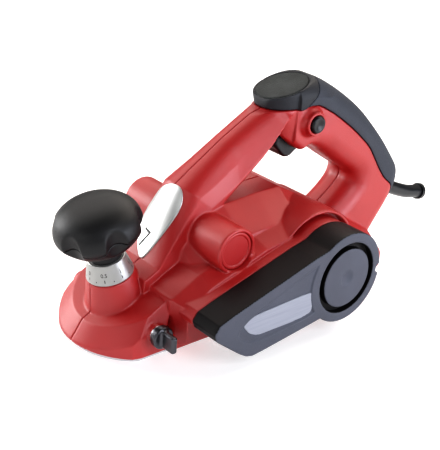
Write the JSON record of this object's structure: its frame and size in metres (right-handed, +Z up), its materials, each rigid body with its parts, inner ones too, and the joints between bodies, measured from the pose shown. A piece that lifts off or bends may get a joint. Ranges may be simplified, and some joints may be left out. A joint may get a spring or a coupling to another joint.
{
  "type": "electric hand planer",
  "caption": "Corded hand planer with split housing, loop handle, belt-driven two-blade drum, movable front sole, depth knob, belt cover and through chip chute.",
  "frame": {"origin": "on the face of the rear sole, on the centre plane, straight below the motor shaft", "axes": "+X to the rear (cord end), +Y to the side away from the belt cover, +Z up from the sole"},
  "size_m": [0.3544, 0.1376, 0.1604],
  "materials": {
    "red_housing": "satin moulded",
    "soft_grip": "fine textured",
    "black_plastic": "semi gloss",
    "dark_cover": "fine textured",
    "silver_print": "satin metallic",
    "cast_aluminium": "machined",
    "steel": "machined",
    "dark_steel": "oxide",
    "core_steel": "stacked laminations",
    "copper_winding": "enamelled",
    "brass": "turned",
    "carbon": "dull",
    "belt_rubber": "ribbed",
    "sleeve_rubber": "smooth"
  },
  "bodies": {
    "root": {"housing_left": "red_housing", "housing_right": "red_housing", "housing_screws": "steel", "handle_grip": "soft_grip", "rear_shoe": "cast_aluminium", "base_screws": "steel", "spindle_bush": "brass", "guide_inserts": "brass", "drum_bearing_left": "steel", "drum_bearing_right": "steel", "drive_belt": "belt_rubber", "motor_baffle": "black_plastic", "motor_bearing_left": "steel", "motor_bearing_right": "steel", "motor_stator": "core_steel", "field_coils": "copper_winding", "brush_holders": "brass", "brushes": "carbon", "brush_springs": "steel", "brush_caps": "black_plastic", "belt_cover": "dark_cover", "belt_cover_label": "silver_print", "belt_cover_screw": "dark_steel", "switch_body": "black_plastic", "trigger_pin": "steel", "trigger_spring": "steel", "lock_button_spring": "steel", "suppressor": "dark_cover", "cord_sleeve": "sleeve_rubber", "cord_clamp": "black_plastic", "cord_clamp_screws": "steel", "chip_deflector": "steel", "indicator_plate": "silver_print"},
    "drum": {"cutter_drum": "cast_aluminium", "blades": "steel", "blade_clamps": "steel", "blade_screws": "dark_steel", "drum_pulley": "black_plastic", "drum_pulley_bolt": "steel"},
    "rotor": {"armature_shaft": "steel", "armature_core": "core_steel", "armature_windings": "copper_winding", "commutator": "copper_winding", "motor_fan": "black_plastic", "motor_pulley": "steel", "motor_pulley_nut": "steel"},
    "knob": {"depth_spindle": "steel", "depth_scale_ring": "silver_print", "knob_base": "black_plastic", "knob_cap": "black_plastic", "knob_screw": "steel"},
    "shoe": {"front_shoe": "cast_aluminium", "shoe_guide_pins": "steel"},
    "fence_bolt": {"guide_bolt": "dark_steel", "guide_washer": "steel"},
    "trigger_body": {"trigger": "black_plastic"},
    "lock": {"lock_button": "black_plastic"},
    "plug": {"chute_plug": "red_housing"}
  },
  "joints": [
    {"name": "drum_spin", "type": "hinge", "parent": "root", "child": "drum", "pos_m": [-0.0824, 0, 0.024], "axis": [0, 1, 0], "continuous": true},
    {"name": "rotor_spin", "type": "hinge", "parent": "root", "child": "rotor", "pos_m": [0, 0, 0.0416], "axis": [0, 1, 0], "continuous": true},
    {"name": "depth_turn", "type": "hinge", "parent": "root", "child": "knob", "pos_m": [-0.1282, 0, 0.0251], "axis": [-0.2756, 0, 0.9613], "range_deg": [0, 360]},
    {"name": "shoe_rise", "type": "slide", "parent": "root", "child": "shoe", "axis": [-0.2756, 0, 0.9613], "range_m": [0, 0.00301]},
    {"name": "fence_bolt_turn", "type": "hinge", "parent": "root", "child": "fence_bolt", "pos_m": [-0.1276, -0.046, 0.0196], "axis": [0, -1, 0], "range_deg": [0, 360]},
    {"name": "trigger_pull", "type": "hinge", "parent": "root", "child": "trigger_body", "pos_m": [0.026, 0, 0.117], "axis": [0, 1, 0], "range_deg": [0, 8], "stiffness_Nm_per_rad": 1.2, "deforming": ["trigger_spring"]},
    {"name": "lock_press", "type": "slide", "parent": "root", "child": "lock", "axis": [0, 1, 0], "range_m": [0, 0.003], "stiffness_N_per_m": 400},
    {"name": "plug_pull", "type": "slide", "parent": "root", "child": "plug", "axis": [0, -1, 0], "range_m": [0, 0.04]}
  ],
  "couplings": [
    {"joint": "rotor_spin", "follows": "drum_spin", "ratio": 1.375},
    {"joint": "shoe_rise", "follows": "depth_turn", "m_per_rad": 0.00047746}
  ]
}
